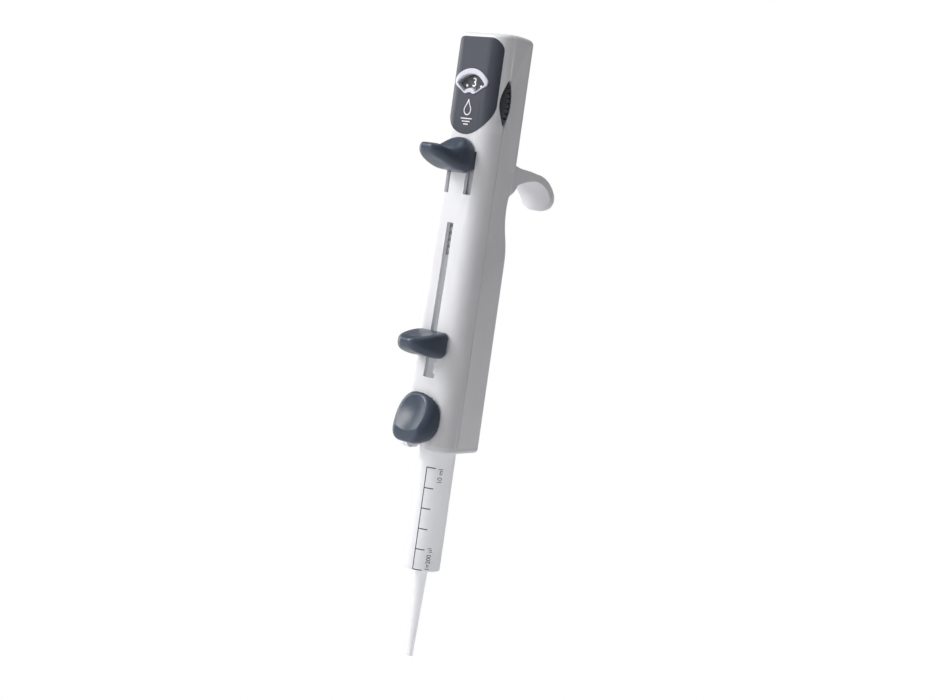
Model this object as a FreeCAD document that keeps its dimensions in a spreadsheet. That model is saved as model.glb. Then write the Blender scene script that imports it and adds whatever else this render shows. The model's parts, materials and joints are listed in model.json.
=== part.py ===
"""Hand-held repeating pipette with a 10 ml dispenser tip.

Frame: millimetres, +Z up along the tip and the casing, origin at the middle of the tip's
outlet. -Y is the front, with the levers and the dial window, and +Y is the back, with the
finger hook. +X is the side to the right of a person who faces the front.
"""
import FreeCAD, Part
import Sketcher
import math
import os
import re

V = FreeCAD.Vector

SIZES = {
    # casing
    "half_width": 16.8, "wall": 2.0, "parting": -4.0,
    "case_foot": 105.0, "case_top": 302.3, "crown_radius": 62.0, "foot_slope": 3.5,
    "foot_floor": 3.2,
    "head_front": 12.5, "foot_front": 15.6, "flare_start": 257.0,
    "head_back": 10.1, "waist_back": 7.7, "foot_back": 11.5,
    "bulge_level": 196.0, "waist_level": 221.5, "shoulder_level": 240.0,
    "front_round": 9.5, "back_round": 3.0, "top_round": 2.8,
    "seam_width": 0.22, "seam_depth": 0.5, "seam_top": 262.0,
    "cap_height": 3.0, "cap_round": 2.2,
    # label and window in the front, table plate in the back
    "label_half": 15.1, "label_foot": 254.3, "label_top": 300.7, "label_corner": 6.0,
    "label_proud": 0.12, "label_depth": 0.5,
    "window_centre": 271.6, "bezel_inner": 2.6, "bezel_outer": 13.9, "bezel_angle": 60.0,
    "bezel_round": 2.4, "bezel_proud": 0.7, "bezel_back": -11.7,
    "opening_inner": 5.0, "opening_outer": 10.9, "opening_angle": 53.0, "funnel": 1.1,
    "lens_thick": 0.5, "lens_margin": 0.5,
    "table_half": 13.6, "table_foot": 263.0, "table_head": 298.0, "table_front": 9.6,
    "table_back": 10.9, "table_round": 2.0,
    # finger hook
    "hook_half": 10.8, "hook_corner": 9.0, "hook_tip": 223.1,
    # selector dial
    "dial_level": 270.9, "dial_plane": -4.0, "rim_radius": 18.9, "rim_tip": 0.6,
    "rim_half": 3.0, "shoulder_radius": 15.6, "well_radius": 19.9, "well_gap": 0.6,
    "face_radius": 11.8, "face_plane": -10.3, "knurl_count": 48, "knurl_width": 1.3,
    "knurl_depth": 0.8, "axle_radius": 1.5, "running_gap": 0.05,
    "cam_radius": 10.0, "cam_lift": 0.5, "cam_step": 36.0, "cam_reach": 152.0,
    "follower_radius": 0.6, "cam_gap": 0.12, "cam_depth": 1.2, "dimple_ring": 5.4,
    # dispensing lever, its slots and its slide
    "lever_gap": 0.35, "slot_foot": 226.0, "slot_head": 247.0,
    "left_slot_low": -8.0, "left_slot_high": -5.3, "right_slot_low": 4.9,
    "right_slot_high": 9.8, "stem_gap": 0.4, "stem_foot": 238.0, "stem_head": 246.6,
    "slide_front": -10.2, "slide_back": -8.4, "slide_foot": 224.0, "slide_half": 9.6,
    "spring_across": -9.6, "spring_depth": -4.6, "spring_foot": 196.0, "spring_radius": 2.0,
    "wire_radius": 0.3, "spring_turns": 8.0, "post_radius": 1.1, "post_head": 222.0,
    "pawl_low": 2.0, "pawl_high": 3.6, "pawl_level": 226.5, "pawl_plane": -3.0,
    "cheek_low": 1.4, "cheek_high": 4.2, "pawl_pin_radius": 0.6,
    # filling lever, rack and piston
    "track_low": -2.7, "track_high": 1.5, "track_foot": 137.3, "track_head": 211.9,
    "gate_high": 4.6, "gate_head": 147.4,
    "fill_stem_foot": 147.6, "fill_stem_head": 158.4,
    "rack_half": 4.0, "rack_front": 0.5, "rack_back": 4.0, "rack_foot": 134.0,
    "rack_head": 222.0, "tooth_pitch": 0.5, "tooth_depth": 0.35, "tooth_count": 144,
    "frame_half": 6.2, "frame_front": 0.0, "frame_back": 5.5, "slide_gap": 0.2,
    "frame_foot": 119.0, "frame_head": 288.0,
    "gripper_radius": 3.9, "gripper_bore": 2.55, "gripper_foot": 116.0,
    # dispenser tip
    "bore_radius": 8.0, "barrel_radius": 8.8, "collar_radius": 9.2, "barrel_foot": 43.4,
    "barrel_floor": 1.4, "visible_top": 101.4, "flange_radius": 10.2, "flange_foot": 110.4,
    "flange_head": 113.0, "outlet_bore": 0.6, "outlet_length": 4.0, "outlet_outer": 1.6,
    "cone_outer": 3.1, "cone_bore": 2.1, "piston_gap": 0.05, "rod_radius": 2.5,
    "socket_radius": 10.5, "socket_head": 119.0, "socket_throat": 7.0,
    # locking lever
    "lock_plane": -13.6, "lock_level": 126.0, "lock_head": 131.0, "lock_bevel": 0.52,
    "lock_channel": 6.0, "lock_stem": 5.6, "channel_head": 128.4, "dish_radius": 30.0,
    "lock_pin_radius": 0.8, "knuckle_radius": 2.0,
}

doc = FreeCAD.newDocument("repeating_pipette")
sheet = doc.addObject("Spreadsheet::Sheet", "Sizes")
for row, (alias, size) in enumerate(SIZES.items(), start=1):
    sheet.set("A%d" % row, alias)
    sheet.set("B%d" % row, str(size))
    sheet.setAlias("B%d" % row, alias)
doc.recompute()

ALIAS = re.compile(r"[a-z_]{3,}")


def cells(formula):
    """A formula in aliases, written out with the sheet's name before each alias."""
    return ALIAS.sub(lambda word: "Sizes." + word.group(0) if word.group(0) in SIZES
                     else word.group(0), str(formula))


def number(formula):
    """The present value of a formula in aliases."""
    return float(sheet.evalExpression(cells(formula)))


# ---------------------------------------------------------------- solids from primitives

def box(name, across, depth, height):
    """A box between two formulas along X, Y and Z."""
    solid = doc.addObject("Part::Box", name)
    for edge, axis, (low, high) in (("Length", "x", across), ("Width", "y", depth),
                                    ("Height", "z", height)):
        solid.setExpression(edge, cells("(%s) - (%s)" % (high, low)))
        solid.setExpression("Placement.Base." + axis, cells(low))
    return solid


def rod(name, axis, centre, span, radius):
    """A cylinder along X, Y or Z from the first to the second formula of its span."""
    turn = {"X": FreeCAD.Rotation(V(0, 1, 0), 90), "Y": FreeCAD.Rotation(V(1, 0, 0), -90),
            "Z": FreeCAD.Rotation()}[axis]
    place = dict(zip([letter for letter in "XYZ" if letter != axis], centre))
    place[axis] = span[0]
    solid = doc.addObject("Part::Cylinder", name)
    solid.Placement = FreeCAD.Placement(V(0, 0, 0), turn)
    solid.setExpression("Radius", cells(radius))
    solid.setExpression("Height", cells("(%s) - (%s)" % (span[1], span[0])))
    for letter in "XYZ":
        solid.setExpression("Placement.Base." + letter.lower(), cells(place[letter]))
    return solid


def ball(name, centre, radius):
    solid = doc.addObject("Part::Sphere", name)
    solid.setExpression("Radius", cells(radius))
    for letter, formula in zip("xyz", centre):
        solid.setExpression("Placement.Base." + letter, cells(formula))
    return solid


def fuse(name, pieces):
    solid = doc.addObject("Part::MultiFuse", name)
    solid.Shapes = pieces
    return solid


def common(name, pieces):
    solid = doc.addObject("Part::MultiCommon", name)
    solid.Shapes = pieces
    return solid


def cut(name, base, tools):
    """The base without the tools."""
    solid = doc.addObject("Part::Cut", name)
    solid.Base = base
    solid.Tool = tools[0] if len(tools) == 1 else fuse(name + "_tools", tools)
    return solid


# ---------------------------------------------------------------- solids from sketches

def new_body(name):
    return doc.addObject("PartDesign::Body", name)


def new_sketch(body, plane, level="0"):
    """A sketch on the body's XY, XZ or YZ plane, moved to a level along the plane's axis."""
    sketch = body.newObject("Sketcher::SketchObject", body.Name + "_sketch")
    support = [part for part in body.Origin.OriginFeatures if part.Role == plane + "_Plane"]
    sketch.AttachmentSupport = [(support[0], "")]
    sketch.MapMode = "FlatFace"
    sign = "-" if plane == "XZ" else ""
    sketch.setExpression("AttachmentOffset.Base.z", cells("%s(%s)" % (sign, level)))
    return sketch


def bow(start, end, radius, side):
    """The arc from start to end whose centre lies to the left (1) or right (-1) of the way."""
    chord = end - start
    left = V(-chord.y, chord.x, 0).normalize()
    rise = math.sqrt(max(radius ** 2 - (chord.Length / 2) ** 2, 0))
    centre = (start + end) / 2 + left * rise * side
    first, last = (start, end) if side > 0 else (end, start)
    angles = [math.atan2(point.y - centre.y, point.x - centre.x) for point in (first, last)]
    return Part.ArcOfCircle(Part.Circle(centre, V(0, 0, 1), radius), angles[0], angles[1])


def outline(body, plane, corners, bends=None, level="0"):
    """A closed outline. Corners are pairs of formulas, and bends gives (radius, side) of
    the arc that leaves a corner, by the corner's number."""
    bends = bends or {}
    sketch = new_sketch(body, plane, level)
    points = [V(number(across), number(up), 0) for across, up in corners]
    ends = []
    for index, start in enumerate(points):
        end = points[(index + 1) % len(points)]
        if index in bends:
            radius, side = bends[index]
            sketch.addGeometry(bow(start, end, number(radius), side), False)
            ends.append((1, 2) if side > 0 else (2, 1))
        else:
            sketch.addGeometry(Part.LineSegment(start, end), False)
            ends.append((1, 2))
    for index, (across, up) in enumerate(corners):
        other = (index + 1) % len(corners)
        sketch.addConstraint(Sketcher.Constraint("Coincident", index, ends[index][1],
                                                 other, ends[other][0]))
        for kind, formula in (("DistanceX", across), ("DistanceY", up)):
            mark = sketch.addConstraint(Sketcher.Constraint(
                kind, -1, 1, index, ends[index][0], number(formula)))
            sketch.setExpression("Constraints[%d]" % mark, cells(formula))
    for index, (radius, _) in bends.items():
        mark = sketch.addConstraint(Sketcher.Constraint("Radius", index, number(radius)))
        sketch.setExpression("Constraints[%d]" % mark, cells(radius))
    return sketch


def pad(body, sketch, length, centred=False, taper="0"):
    """Extrude towards +X, +Y or +Z, or to both sides of the sketch."""
    feature = body.newObject("PartDesign::Pad", body.Name + "_pad")
    feature.Profile = sketch
    feature.setExpression("Length", cells(length))
    feature.setExpression("TaperAngle", cells(taper))
    feature.SideType = "Symmetric" if centred else "One side"
    feature.Reversed = on_plane(sketch, "XZ")
    body.Tip = feature
    return feature


def pocket(body, sketch, length):
    """Cut towards +X, +Y or +Z."""
    doc.recompute()
    before = body.Shape.Volume
    feature = body.newObject("PartDesign::Pocket", body.Name + "_pocket")
    feature.Profile = sketch
    feature.setExpression("Length", cells(length))
    feature.Reversed = not on_plane(sketch, "XZ")
    body.Tip = feature
    doc.recompute()
    if body.Shape.Volume > before - 1e-6:
        raise RuntimeError(body.Name + ": a pocket cuts nothing")
    return feature


def revolve(body, sketch, axis):
    """A full turn about the sketch's V_Axis or H_Axis."""
    feature = body.newObject("PartDesign::Revolution", body.Name + "_revolution")
    feature.Profile = sketch
    feature.ReferenceAxis = (sketch, [axis])
    feature.Angle = 360
    body.Tip = feature
    return feature


def on_plane(sketch, plane):
    return sketch.AttachmentSupport[0][0].Role == plane + "_Plane"


def fillet(body, radius, wanted):
    """Round the edges of the body for which wanted(edge's bound box) is true."""
    doc.recompute()
    base = body.Tip
    names = ["Edge%d" % number_ for number_, edge in enumerate(base.Shape.Edges, start=1)
             if wanted(edge.BoundBox)]
    feature = body.newObject("PartDesign::Fillet", body.Name + "_fillet")
    feature.Base = (base, names)
    feature.setExpression("Radius", cells(radius))
    body.Tip = feature
    doc.recompute()
    if not names or not body.Shape.isValid() or body.Shape.Volume < 1:
        raise RuntimeError(body.Name + ": a fillet failed")
    return feature


def trim_corners(body, plane, half, tip, radius, low, length):
    """Round both corners of a tongue that ends at tip, with pockets through its thickness."""
    for sign, side in (("-", 1), ("", -1)):
        corners = [("%s(%s + 1)" % (sign, half), "%s - 1" % tip),
                   ("%s(%s + 1)" % (sign, half), "%s + %s" % (tip, radius)),
                   ("%s(%s)" % (sign, half), "%s + %s" % (tip, radius)),
                   ("%s(%s - %s)" % (sign, half, radius), tip),
                   ("%s(%s - %s)" % (sign, half, radius), "%s - 1" % tip)]
        pocket(body, outline(body, plane, corners, {2: (radius, side)}, level=low), length)


def blended(name, sections):
    """A solid that blends along Y through rounded sections. Each section is its Y, half its
    width, its foot and head, and the radii of its lower and upper corners."""
    body = new_body(name)
    rings = []
    for level, half, low, high, low_round, high_round in sections:
        low_side, high_side = half - low_round, half - high_round
        low_end, high_end = low + low_round, high - high_round
        rings.append(outline(body, "XZ", [
            (-low_side, low), (low_side, low), (half, low_end), (half, high_end),
            (high_side, high), (-high_side, high), (-half, high_end), (-half, low_end)],
            {1: (low_round, 1), 3: (high_round, 1), 5: (high_round, 1), 7: (low_round, 1)},
            level=level))
    loft = body.newObject("PartDesign::AdditiveLoft", name + "_loft")
    loft.Profile = rings[0]
    loft.Sections = rings[1:]
    body.Tip = loft
    return body


PARTS = {}


def keep(name, solid):
    """Take a finished solid as the sub-part of this name."""
    solid.Label = name
    PARTS[name] = solid
    return solid


# ---------------------------------------------------------------- casing

HALF_TURN_CURVE = "((%s)^2 + (%s)^2) / (4 * (%s))"


def sway(rise, shift):
    """Radius of the two equal arcs of an S that rises and shifts sideways."""
    return HALF_TURN_CURVE % (rise, shift, shift)


def casing_form(name, inset, foot):
    """The casing's outside moved inwards by inset, from its foot to its crown."""
    body = new_body(name)
    front, shoe = "-(head_front - (%s))" % inset, "-(foot_front - (%s))" % inset
    back = "%s - (" + inset + ")"
    crown = "case_top - (%s)" % inset
    flare = "((flare_start - case_foot)^2 + (foot_front - head_front)^2)"
    low_rise, low_shift = "waist_level - bulge_level", "foot_back - waist_back"
    high_rise, high_shift = "shoulder_level - waist_level", "head_back - waist_back"
    middle_low = ("(foot_back + waist_back)/2 - (%s)" % inset, "(bulge_level + waist_level)/2")
    middle_high = ("(head_back + waist_back)/2 - (%s)" % inset,
                   "(shoulder_level + waist_level)/2")
    corners = [(front, crown), (front, "flare_start"), (shoe, foot),
               (back % "foot_back", foot), (back % "foot_back", "bulge_level"), middle_low,
               (back % "waist_back", "waist_level"), middle_high,
               (back % "head_back", "shoulder_level"), (back % "head_back", crown)]
    low, high = sway(low_rise, low_shift), sway(high_rise, high_shift)
    bends = {1: (flare + " / 2 / (foot_front - head_front)", -1), 4: (low, 1), 5: (low, -1),
             6: (high, -1), 7: (high, 1), 9: ("crown_radius", 1)}
    side = "half_width - (%s)" % inset
    pad(body, outline(body, "YZ", corners, bends), "2 * (%s)" % side, centred=True)
    edge_x = number(side)
    front_y, back_y = number(front) + 0.1, number("waist_back - (%s)" % inset) - 0.1
    crown_z = number(crown) - 0.1

    def upright(bound):
        return abs(abs(bound.XMin) - edge_x) < 1e-3 and bound.XLength < 1e-3 and \
            bound.ZLength > 5

    fillet(body, "front_round - (%s)" % inset,
           lambda bound: upright(bound) and bound.YMax < front_y)
    fillet(body, "back_round - (%s)" % inset,
           lambda bound: upright(bound) and bound.YMin > back_y)
    fillet(body, "top_round - (%s)" % inset, lambda bound: bound.ZMin > crown_z)
    return body


outer_form = casing_form("outer_form", "0", "case_foot")
inner_form = casing_form("inner_form", "wall", "case_foot + foot_floor")
skin_form = casing_form("skin_form", "seam_depth", "case_foot - 1")
label_form = casing_form("label_form", "-label_proud", "case_foot")
bezel_form = casing_form("bezel_form", "-bezel_proud", "case_foot")
lever_form = casing_form("lever_form", "-lever_gap", "case_foot")

# The casing's foot is cut on a slope that rises to the back, where the end cap meets it.
foot_wedge = new_body("foot_wedge")
slope_rise = "(60 + foot_front) * tan(foot_slope * 1deg)"
pad(foot_wedge, outline(foot_wedge, "YZ", [
    ("-foot_front - 1", "90"), ("60", "90"), ("60", "case_foot + " + slope_rise),
    ("-foot_front", "case_foot"), ("-foot_front - 1", "case_foot")], level="-30"), "60")

front_half = box("front_half", ("-30", "30"), ("-30", "parting"), ("90", "310"))
back_half = box("back_half", ("-30", "30"), ("parting", "60"), ("90", "310"))

seam_slab = box("seam_slab", ("-30", "30"), ("parting - seam_width/2", "parting + seam_width/2"),
                ("90", "seam_top"))
seam_groove = cut("seam_groove", seam_slab, [skin_form])

# The lens-shaped slots in both sides are where the dial's double-bevelled room meets the
# walls.
dial_well = new_body("dial_well")
half_well = "rim_half + well_gap"
revolve(dial_well, outline(dial_well, "XY", [
    ("0", "face_plane - 0.4"), ("face_radius + well_gap", "face_plane - 0.4"),
    ("face_radius + well_gap", "dial_plane - (%s)" % half_well),
    ("shoulder_radius", "dial_plane - (%s)" % half_well), ("well_radius", "dial_plane - 0.5"),
    ("well_radius", "dial_plane + 0.5"),
    ("shoulder_radius", "dial_plane + (%s)" % half_well), ("0", "dial_plane + (%s)" % half_well),
], level="0"), "V_Axis")
dial_well.setExpression("Placement.Base.z", cells("dial_level"))


def sector_corners(inner, outer, angle):
    """A slice of a ring that opens upwards, centred on the window's centre."""
    side = [("%s(%s) * sin(%s)" % (sign, radius, angle), "window_centre + (%s) * cos(%s)"
             % (radius, angle)) for radius, sign in ((inner, "-"), (outer, "-"),
                                                     (outer, ""), (inner, ""))]
    return side


def sector(name, inner, outer, angle, span, taper="0"):
    """A ring slice, extruded from the first to the second formula of span along Y."""
    body = new_body(name)
    degrees = "(%s) * 1deg" % angle
    sketch = outline(body, "XZ", sector_corners(inner, outer, degrees),
                     {1: (outer, -1), 3: (inner, 1)}, level=span[0])
    pad(body, sketch, "(%s) - (%s)" % (span[1], span[0]), taper=taper)
    return body


bezel_block = sector("bezel_block", "bezel_inner", "bezel_outer", "bezel_angle",
                     ("-20", "bezel_back"))
fillet(bezel_block, "bezel_round", lambda bound: bound.XLength < 1e-3 and bound.ZLength < 1e-3)
opening = new_body("opening")
funnel = [outline(opening, "XZ", sector_corners(inner, outer, "(%s) * 1deg" % angle),
                  {1: (outer, -1), 3: (inner, 1)}, level=level)
          for inner, outer, angle, level in (
              ("opening_inner", "opening_outer", "opening_angle", "bezel_back + 0.4"),
              ("opening_inner - funnel", "opening_outer + funnel", "opening_angle + 4", "-15"))]
opening_loft = opening.newObject("PartDesign::AdditiveLoft", "opening_loft")
opening_loft.Profile = funnel[0]
opening_loft.Sections = [funnel[1]]
opening.Tip = opening_loft
throat_slice = sector("window_throat", "opening_inner", "opening_outer", "opening_angle",
                      ("bezel_back - 0.5", "-8"))
bezel_room = common("bezel_room", [bezel_block, bezel_form])
window_bezel = keep("window_bezel", cut("window_bezel", bezel_room, [opening,
                                                                      throat_slice]))
lens_block = sector("lens_block", "opening_inner - lens_margin", "opening_outer + lens_margin",
                    "opening_angle + 2", ("bezel_back", "bezel_back + lens_thick"))
window_lens = keep("window_lens", lens_block)

label_outline = new_body("label_outline")
pad(label_outline, outline(label_outline, "XZ", [
    ("-label_half", "label_top"), ("-label_half", "label_foot + label_half"),
    ("0", "label_foot"), ("label_half", "label_foot + label_half"),
    ("label_half", "label_top")],
    {1: ("label_half", 1), 2: ("label_half", 1)}, level="-20"), "19")
fillet(label_outline, "label_corner", lambda bound: bound.XLength < 1e-3 and
       bound.ZLength < 1e-3 and bound.ZMin > number("label_top") - 1)
recess_form = casing_form("recess_form", "label_depth", "case_foot")
label_skin = cut("label_skin", label_form, [recess_form])
label_sheet = common("label_sheet", [label_skin, label_outline])
label_panel = keep("label_panel", cut("label_panel", label_sheet, [bezel_block]))

# Slots in the front wall for the stems of the levers, and the locking lever's channel.
left_slot = box("left_slot", ("left_slot_low", "left_slot_high"), ("-20", "-8"),
                ("slot_foot", "slot_head"))
right_slot = box("right_slot", ("right_slot_low", "right_slot_high"), ("-20", "-8"),
                 ("slot_foot", "slot_head"))
track = box("track", ("track_low", "track_high"), ("-20", "-8"), ("track_foot", "track_head"))
gate = box("gate", ("track_low", "gate_high"), ("-20", "-8"), ("track_foot", "gate_head"))
lock_gap = box("lock_gap", ("-lock_channel", "lock_channel"), ("-20", "-8"),
               ("case_foot - cap_height - 1", "channel_head"))
lock_pin = keep("lock_lever_pin", rod("lock_lever_pin", "X", ("lock_plane", "lock_level"),
                                      ("-8.6", "8.6"), "lock_pin_radius"))
tip_room = rod("tip_room", "Z", ("0", "0"), ("90", "flange_head + 0.2"), "socket_radius")
throat = rod("throat", "Z", ("0", "0"), ("90", "socket_head + 1"), "socket_throat")

front_outside = common("front_outside", [outer_form, front_half])
front_shell = keep("front_shell", cut("front_shell", front_outside, [
    inner_form, seam_groove, dial_well, bezel_block, throat_slice, lens_block, label_sheet,
    left_slot, right_slot, track, gate, lock_gap, lock_pin, tip_room, foot_wedge]))

# The finger hook arches back from the casing and curls down to a rounded tongue.
hook = new_body("hook")
pad(hook, outline(hook, "YZ", [
    ("8.6", "246.5"), ("20.0", "241.9"), ("30.0", "240.6"), ("45.6", "226.0"),
    ("42.8", "223.2"), ("42.4", "227.2"), ("28.7", "237.0"), ("17.6", "233.9"),
    ("7.4", "224.5")],
    {0: ("22", 1), 1: ("60", -1), 2: ("16.5", -1), 3: ("2.4", -1), 5: ("13.5", 1),
     6: ("34", 1), 7: ("15", -1)}), "2 * hook_half", centred=True)
trim_corners(hook, "XZ", "hook_half", "hook_tip", "hook_corner", "12", "40")
back_outside = common("back_outside", [outer_form, back_half])
back_cavity = fuse("back_cavity", [inner_form, seam_groove, dial_well, tip_room,
                                   foot_wedge])
table_block = new_body("table_block")
pad(table_block, outline(table_block, "XZ", [
    ("-table_half", "table_foot"), ("table_half", "table_foot"), ("table_half", "table_head"),
    ("-table_half", "table_head")], level="table_front"), "table_back - table_front")
fillet(table_block, "table_round", lambda bound: bound.XLength < 1e-3 and bound.ZLength < 1e-3)
volume_table_plate = keep("volume_table_plate", table_block)
hooked = fuse("hooked", [back_outside, hook])
rear_shell = keep("rear_shell", cut("rear_shell", hooked, [back_cavity, table_block]))

# The end cap closes the foot of the casing around the tip.
cap_body = new_body("cap_body")
cap_sides = [("-half_width", "-foot_front + front_round"), ("-half_width + front_round",
             "-foot_front"), ("half_width - front_round", "-foot_front"),
             ("half_width", "-foot_front + front_round"), ("half_width", "foot_back - back_round"),
             ("half_width - back_round", "foot_back"), ("-half_width + back_round", "foot_back"),
             ("-half_width", "foot_back - back_round")]
pad(cap_body, outline(cap_body, "XY", cap_sides, {0: ("front_round", 1), 2: ("front_round", 1),
                                                  4: ("back_round", 1), 6: ("back_round", 1)},
                      level="-cap_height"), "cap_height")
cap_foot = number("-cap_height")
fillet(cap_body, "cap_round", lambda bound: bound.ZMax < cap_foot + 1e-3)
cap_turn = FreeCAD.Rotation(V(1, 0, 0), number("foot_slope"))
cap_pivot = V(0, -number("foot_front"), 0)
cap_body.Placement = FreeCAD.Placement(
    cap_pivot - cap_turn.multVec(cap_pivot) + V(0, 0, number("case_foot")), cap_turn)
bottom_cap = keep("bottom_cap", cut("bottom_cap", cap_body, [tip_room, lock_gap]))

# The socket fills the casing's foot: the tip's flange rests against its shoulder.
socket_slab = box("socket_slab", ("-30", "30"), ("-30", "30"), ("case_foot + foot_floor",
                                                                "socket_head"))
socket_block = common("socket_block", [inner_form, socket_slab])
tip_socket = keep("tip_socket", cut("tip_socket", socket_block, [tip_room, throat, lock_gap]))

# The white stop beside the foot of the filling lever's track.
stop_bar = box("stop_bar", ("1.4", "15"), ("-12.4", "-9"), ("139.2", "144.6"))
track_stop = keep("track_stop", common("track_stop", [inner_form, stop_bar]))

# The guide frame is a channel that the rack runs in, with a shelf for the return spring.
channel = box("channel", ("-frame_half", "frame_half"), ("frame_front", "frame_back"),
              ("frame_foot", "frame_head"))
rack_room = box("rack_room", ("-rack_half - slide_gap", "rack_half + slide_gap"), ("-1",
                "rack_back + slide_gap"), ("frame_foot - 1", "frame_head - 3"))
shelf = box("shelf", ("-12.4", "-frame_half + 1"), ("-7.6", "frame_front + 3"),
            ("spring_foot - 2.5", "spring_foot"))
guide_frame = keep("guide_frame", cut("guide_frame", fuse("channel_shelf", [channel, shelf]),
                                      [rack_room]))
spring_post = keep("spring_post", rod("spring_post", "Z", ("spring_across", "spring_depth"),
                                      ("spring_foot", "post_head"), "post_radius"))
holding_leaf = keep("holding_leaf", fuse("holding_leaf", [
    box("leaf_foot", ("-frame_half", "0.8"), ("-0.5", "frame_front"), ("230", "234")),
    box("leaf_arm", ("-2.5", "0.8"), ("-0.5", "-0.2"), ("215", "230")),
    box("leaf_tip", ("-2.5", "0.8"), ("-0.5", "rack_front - 0.02"), ("214.6", "215")),
]))
dial_axle = keep("dial_axle", rod("dial_axle", "Y", ("0", "dial_level"), ("face_plane", "-0.5"),
                                  "axle_radius"))
detent_spring = keep("detent_spring", fuse("detent_spring", [
    box("detent_strip", ("-9", "-4.2"), ("-0.4", "frame_front"), ("258", "275")),
    ball("detent_bump", ("-dimple_ring", "-0.5", "dial_level"), "0.45"),
]))

# ---------------------------------------------------------------- selector dial

wheel = new_body("wheel")
revolve(wheel, outline(wheel, "XY", [
    ("axle_radius + running_gap", "face_plane"), ("face_radius", "face_plane"),
    ("face_radius", "dial_plane - rim_half"), ("shoulder_radius", "dial_plane - rim_half"),
    ("rim_radius", "dial_plane - rim_tip"), ("rim_radius", "dial_plane + rim_tip"),
    ("shoulder_radius", "dial_plane + rim_half"),
    ("axle_radius + running_gap", "dial_plane + rim_half")]), "V_Axis")
wheel.setExpression("Placement.Base.z", cells("dial_level"))
knurl = new_body("knurl")
pad(knurl, outline(knurl, "XZ", [
    ("-knurl_width / 2", "rim_radius + 0.4"), ("0", "rim_radius - knurl_depth - 0.4"),
    ("knurl_width / 2", "rim_radius + 0.4")], level="dial_plane - 2.4"), "4.8")
notch = knurl.Tip
pattern = knurl.newObject("PartDesign::PolarPattern", "knurl_ring")
pattern.Originals = [notch]
pattern.Axis = (knurl.Origin.OriginFeatures[1], [""])
pattern.Angle = 360
pattern.setExpression("Occurrences", cells("knurl_count"))
knurl.Tip = pattern
knurl.setExpression("Placement.Base.z", cells("dial_level"))


def cam_groove():
    """The spiral groove in the dial's back, as deep as the follower pin reaches."""
    growth = number("cam_lift / cam_step") * 180 / math.pi
    half = number("follower_radius + cam_gap")
    reach = math.radians(number("cam_reach"))
    steps = 24
    edges = []
    for side in (half, -half):
        points = []
        for step in range(steps + 1):
            turn = -reach + 2 * reach * step / steps
            radius = number("cam_radius") - growth * turn + side
            points.append(V(radius * math.sin(turn), 0, -radius * math.cos(turn)))
        curve = Part.BSplineCurve()
        curve.interpolate(points)
        edges.append(curve.toShape())
    ends = [Part.LineSegment(edges[0].Vertexes[end].Point, edges[1].Vertexes[end].Point).toShape()
            for end in (0, -1)]
    face = Part.Face(Part.Wire(Part.__sortEdges__(edges + ends)))
    return face.extrude(V(0, number("cam_depth + 1"), 0))


cam_shape = cam_groove()
cam = doc.addObject("Part::Feature", "cam")
cam.Shape = cam_shape
cam.setExpression("Placement.Base.y", cells("dial_plane + rim_half - cam_depth"))
cam.setExpression("Placement.Base.z", cells("dial_level"))
dimples = []
for step in range(10):
    angle = "(%d * cam_step) * 1deg" % step
    dimples.append(ball("dimple_%d" % step, (
        "-dimple_ring * cos(%s)" % angle, "-0.55", "dial_level + dimple_ring * sin(%s)" % angle),
        "0.75"))
selector_dial = keep("selector_dial", cut("selector_dial", wheel, [knurl, cam] + dimples))

# The step shield hides rack teeth from the pawl and follows the spiral groove.
shield_low, shield_high = "pawl_low - 0.3", "pawl_high + 0.2"
step_shield = keep("step_shield", fuse("step_shield", [
    box("shield_strip", (shield_low, shield_high), ("-0.1", "rack_front - 0.3"),
        ("205.5", "dial_level - cam_radius - 2.4")),
    box("shield_head", ("-1.1", shield_high), ("-0.6", "rack_front - 0.3"),
        ("dial_level - cam_radius - 2.4", "dial_level - cam_radius + 1.4")),
    rod("shield_pin", "Y", ("0", "dial_level - cam_radius"), ("-1.9", "-0.3"),
        "follower_radius"),
]))

# ---------------------------------------------------------------- dispensing lever

# The thumb rest is a saddle: a dome at the casing, a valley for the thumb and a raised lip.
saddle = blended("saddle", [
    (-11.5, 9.8, 236.5, 252.7, 4.6, 9.3), (-16.0, 9.9, 236.2, 252.3, 4.6, 9.0),
    (-20.5, 9.9, 236.6, 249.2, 4.4, 6.6), (-25.5, 9.6, 238.0, 246.6, 3.9, 3.9),
    (-29.8, 8.8, 239.9, 247.0, 3.3, 3.3), (-33.0, 7.2, 241.4, 247.8, 3.0, 3.0),
    (-35.2, 5.2, 242.9, 247.6, 2.2, 2.2), (-36.4, 3.0, 244.2, 246.8, 1.2, 1.2)])
thumb_rest = cut("thumb_rest", saddle, [lever_form])

stems = []
for name, low, high in (("left_stem", "left_slot_low", "left_slot_high"),
                        ("right_stem", "right_slot_low", "right_slot_high")):
    stems.append(box(name, (low + " + stem_gap", high + " - stem_gap"),
                     ("-15", "slide_front"), ("stem_foot", "stem_head")))
dispense_lever = keep("dispense_lever", fuse("dispense_lever", [thumb_rest] + stems))

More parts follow.
